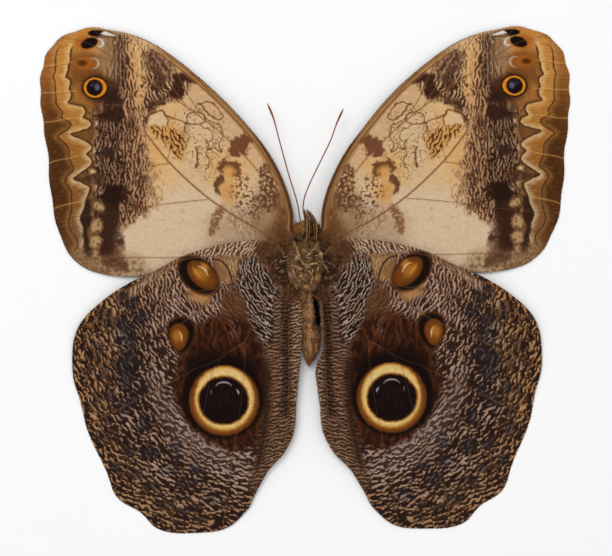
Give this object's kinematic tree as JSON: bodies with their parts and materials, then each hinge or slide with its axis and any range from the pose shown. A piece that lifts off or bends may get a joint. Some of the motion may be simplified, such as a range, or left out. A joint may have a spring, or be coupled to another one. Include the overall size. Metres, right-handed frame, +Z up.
{
  "type": "owl butterfly",
  "caption": "Dried, spread owl butterfly lying on its back, underside up, as a still life-size museum model.",
  "frame": {"origin": "on the floor, below the middle of the spread wings", "axes": "+Y towards the head, +X to the animal's left wings, +Z up, out of its belly"},
  "size_m": [0.1301, 0.1245, 0.0106],
  "materials": {
    "wing": "matt scales in fine bands, with darker marks and owl eyespots",
    "fur": "short brown fur over a dark skin",
    "eye": "dry brown faceted eye with a faint sheen",
    "feeler": "slender ringed brown feeler, reddish at its club",
    "leg": "thin tan legs with flat scales"
  },
  "bodies": {
    "root": {"thorax": "fur", "abdomen": "fur", "head": "fur", "palp_right": "fur", "palp_left": "fur", "eye_right": "eye", "eye_left": "eye", "antenna_right": "feeler", "antenna_left": "feeler", "foreleg_right": "leg", "foreleg_left": "leg", "midleg_right": "leg", "midleg_left": "leg", "hindleg_right": "leg", "hindleg_left": "leg", "forewing_right": "wing", "forewing_left": "wing", "hindwing_right": "wing", "hindwing_left": "wing"}
  },
  "joints": []
}
